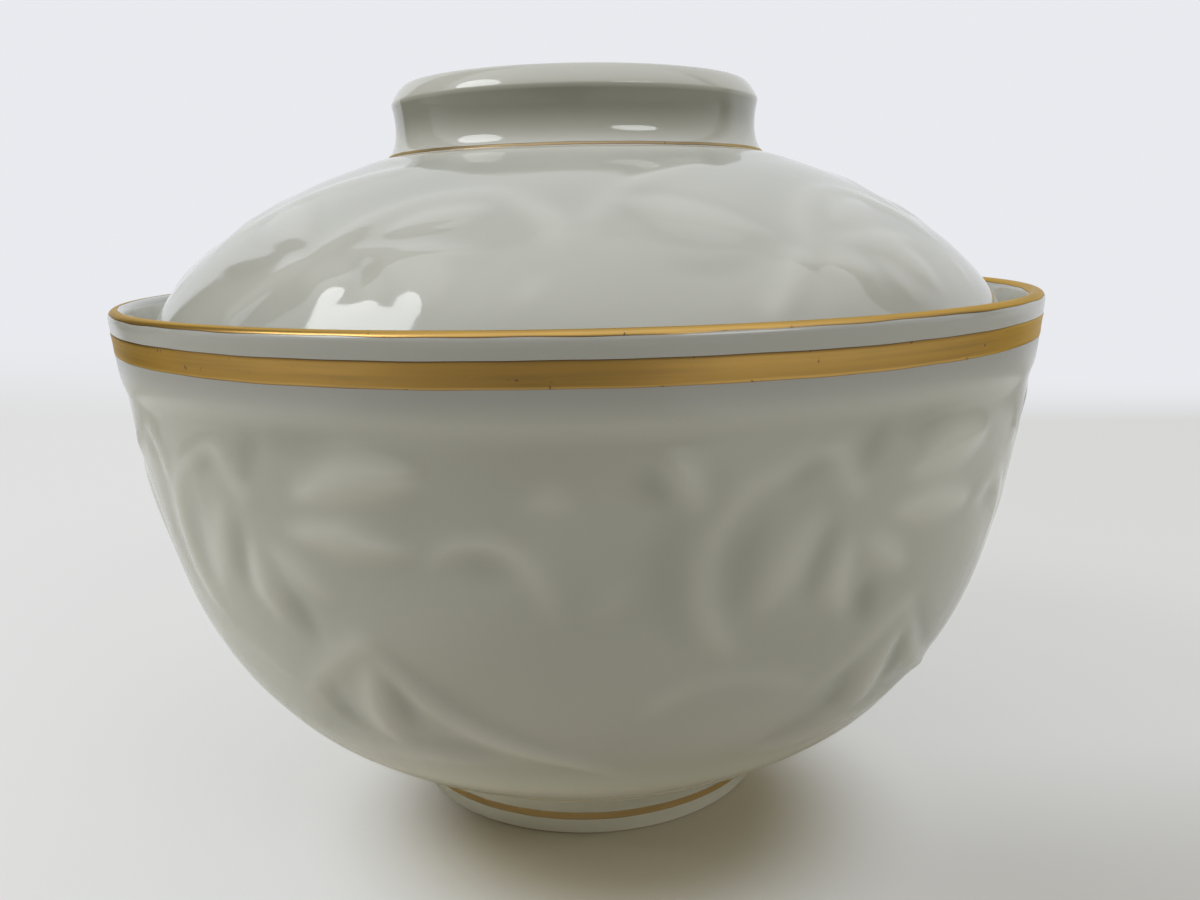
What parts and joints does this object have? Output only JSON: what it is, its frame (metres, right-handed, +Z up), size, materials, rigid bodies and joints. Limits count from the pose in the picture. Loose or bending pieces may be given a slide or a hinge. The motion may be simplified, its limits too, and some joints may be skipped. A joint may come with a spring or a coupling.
{
  "type": "lidded bowl",
  "caption": "Deep round porcelain rice bowl on a ring foot, with a domed lid that sits inside the rim, a ring knob and gold bands.",
  "frame": {"origin": "middle of the foot ring's standing face, on the table", "axes": "+Z up along the bowl's axis, from the foot to the knob; +X to the right and +Y away from the viewer in the picture"},
  "size_m": [0.12, 0.12, 0.0955],
  "materials": {
    "porcelain": "glossy clear glaze over ivory porcelain with a faint green cast; the foot ring's standing edge and the lid's edge are left bare",
    "gilding": "burnished gold fired onto the glaze, slightly rubbed and pinholed, with soft uneven edges"
  },
  "bodies": {
    "bowl": {"bowl": "porcelain", "rim_gilding": "gilding", "wide_gold_band": "gilding", "foot_gold_line": "gilding"},
    "lid": {"lid": "porcelain", "knob_gold_line": "gilding"}
  },
  "joints": [
    {"name": "lid_lift", "type": "slide", "parent": "bowl", "child": "lid", "axis": [0, 0, 1], "range_m": [0, 0.06]}
  ]
}
